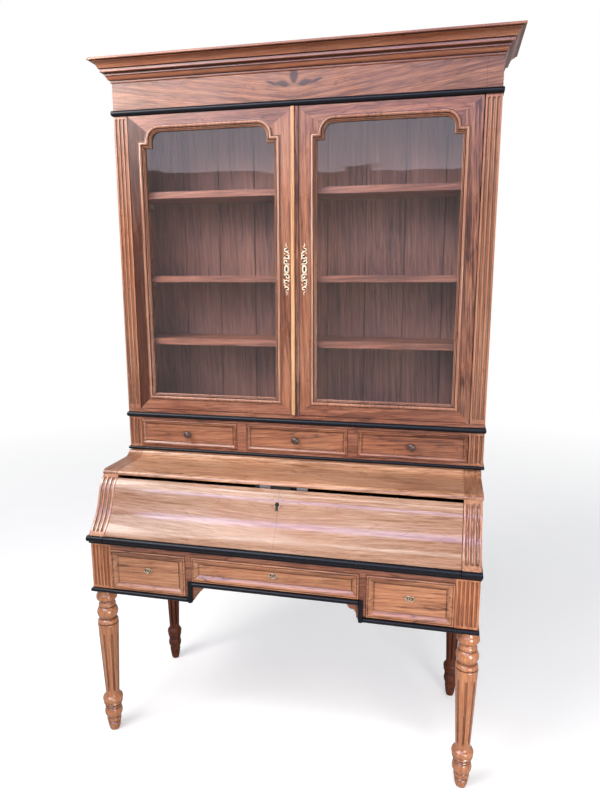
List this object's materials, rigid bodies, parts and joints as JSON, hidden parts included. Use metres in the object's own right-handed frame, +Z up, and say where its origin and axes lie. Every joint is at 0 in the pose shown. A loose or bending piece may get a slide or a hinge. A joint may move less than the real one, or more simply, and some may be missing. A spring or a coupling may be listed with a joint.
{
  "type": "secretary desk",
  "caption": "Walnut secretary bookcase: glazed doors over small drawers, an ogee fall front on a pull-out writing slide, a kneehole drawer case and turned fluted legs.",
  "frame": {"origin": "on the floor, under the middle of the object's bounding box", "axes": "+Z up, +X to the viewer's right, the front faces -Y"},
  "size_m": [1.45, 0.608, 2.415],
  "materials": {
    "walnut": "french polished, satin to gloss, with open straight and crotch figure",
    "shelf_wood": "stained, satin",
    "carcass": "plain boards, dull and age-darkened",
    "ebonised": "black stained and polished",
    "knob_wood": "dark turned wood, worn polish",
    "glass": "old drawn sheet, slightly wavy",
    "brass": "aged, pierced and rubbed bright on its edges",
    "steel": "plain filed steel, dulled"
  },
  "bodies": {
    "root": {"cornice": "walnut", "frieze": "walnut", "case_top": "carcass", "case_side_left": "walnut", "case_side_right": "walnut", "case_back": "carcass", "case_pilaster_left": "walnut", "case_pilaster_right": "walnut", "case_bands": "ebonised", "drawer_tier": "walnut", "shelf_lower": "shelf_wood", "shelf_middle": "shelf_wood", "shelf_upper": "shelf_wood", "desk_top": "walnut", "end_panel_left": "walnut", "end_panel_right": "walnut", "corbel_left": "walnut", "corbel_right": "walnut", "desk_back": "carcass", "desk_floor": "carcass", "gallery": "walnut", "base_post_left": "walnut", "base_post_right": "walnut", "base_front_frame": "walnut", "desk_bands": "ebonised", "housing_left": "walnut", "housing_right": "walnut", "knee_ceiling": "walnut", "leg_front_left": "walnut", "leg_front_right": "walnut", "leg_rear_left": "walnut", "leg_rear_right": "walnut", "door_pivots": "steel"},
    "door_left": {"door_left_frame": "walnut", "door_left_glass": "glass", "door_left_moulding": "walnut", "door_left_escutcheon": "brass"},
    "door_right": {"door_right_frame": "walnut", "door_right_glass": "glass", "door_right_moulding": "walnut", "door_right_escutcheon": "brass"},
    "door_bolt": {"door_lock_bolt": "steel"},
    "top_drawer_left": {"upper_drawer_left": "walnut", "knob_left": "knob_wood"},
    "top_drawer_middle": {"upper_drawer_middle": "walnut", "knob_middle": "knob_wood"},
    "top_drawer_right": {"upper_drawer_right": "walnut", "knob_right": "knob_wood"},
    "desk_drawer_left": {"lower_drawer_left": "walnut"},
    "drawer_bolt_left": {"lock_bolt_left": "steel"},
    "desk_drawer_middle": {"lower_drawer_middle": "walnut"},
    "drawer_bolt_middle": {"lock_bolt_middle": "steel"},
    "desk_drawer_right": {"lower_drawer_right": "walnut"},
    "drawer_bolt_right": {"lock_bolt_right": "steel"},
    "slide": {"writing_slide": "walnut", "slide_band": "ebonised"},
    "fall": {"fall_front": "walnut"},
    "fall_lock": {"fall_bolts": "steel"},
    "gallery_drawer_left": {"small_drawer_left": "walnut"},
    "gallery_drawer_right": {"small_drawer_right": "walnut"}
  },
  "joints": [
    {"name": "door_left_hinge", "type": "hinge", "parent": "root", "child": "door_left", "pos_m": [-0.609, 0.0665, 1.7], "axis": [0, 0, -1], "range_deg": [0, 110]},
    {"name": "door_right_hinge", "type": "hinge", "parent": "root", "child": "door_right", "pos_m": [0.609, 0.0665, 1.7], "axis": [0, 0, 1], "range_deg": [0, 110]},
    {"name": "door_bolt_throw", "type": "slide", "parent": "door_right", "child": "door_bolt", "axis": [-1, 0, 0], "range_m": [0, 0.01]},
    {"name": "top_drawer_left_slide", "type": "slide", "parent": "root", "child": "top_drawer_left", "axis": [0, -1, 0], "range_m": [0, 0.14]},
    {"name": "top_drawer_middle_slide", "type": "slide", "parent": "root", "child": "top_drawer_middle", "axis": [0, -1, 0], "range_m": [0, 0.14]},
    {"name": "top_drawer_right_slide", "type": "slide", "parent": "root", "child": "top_drawer_right", "axis": [0, -1, 0], "range_m": [0, 0.14]},
    {"name": "desk_drawer_left_slide", "type": "slide", "parent": "root", "child": "desk_drawer_left", "axis": [0, -1, 0], "range_m": [0, 0.34]},
    {"name": "drawer_bolt_left_throw", "type": "slide", "parent": "desk_drawer_left", "child": "drawer_bolt_left", "axis": [0, 0, 1], "range_m": [0, 0.009]},
    {"name": "desk_drawer_middle_slide", "type": "slide", "parent": "root", "child": "desk_drawer_middle", "axis": [0, -1, 0], "range_m": [0, 0.34]},
    {"name": "drawer_bolt_middle_throw", "type": "slide", "parent": "desk_drawer_middle", "child": "drawer_bolt_middle", "axis": [0, 0, 1], "range_m": [0, 0.009]},
    {"name": "desk_drawer_right_slide", "type": "slide", "parent": "root", "child": "desk_drawer_right", "axis": [0, -1, 0], "range_m": [0, 0.34]},
    {"name": "drawer_bolt_right_throw", "type": "slide", "parent": "desk_drawer_right", "child": "drawer_bolt_right", "axis": [0, 0, 1], "range_m": [0, 0.009]},
    {"name": "writing_slide_travel", "type": "slide", "parent": "root", "child": "slide", "axis": [0, -1, 0], "range_m": [0, 0.25]},
    {"name": "fall_front_hinge", "type": "hinge", "parent": "slide", "child": "fall", "pos_m": [0, -0.2928, 0.7896], "axis": [1, 0, 0], "range_deg": [0, 124]},
    {"name": "fall_lock_throw", "type": "slide", "parent": "fall", "child": "fall_lock", "axis": [0, 0.7321, 0.6812], "range_m": [0, 0.012]},
    {"name": "gallery_drawer_left_slide", "type": "slide", "parent": "root", "child": "gallery_drawer_left", "axis": [0, -1, 0], "range_m": [0, 0.12]},
    {"name": "gallery_drawer_right_slide", "type": "slide", "parent": "root", "child": "gallery_drawer_right", "axis": [0, -1, 0], "range_m": [0, 0.12]}
  ]
}
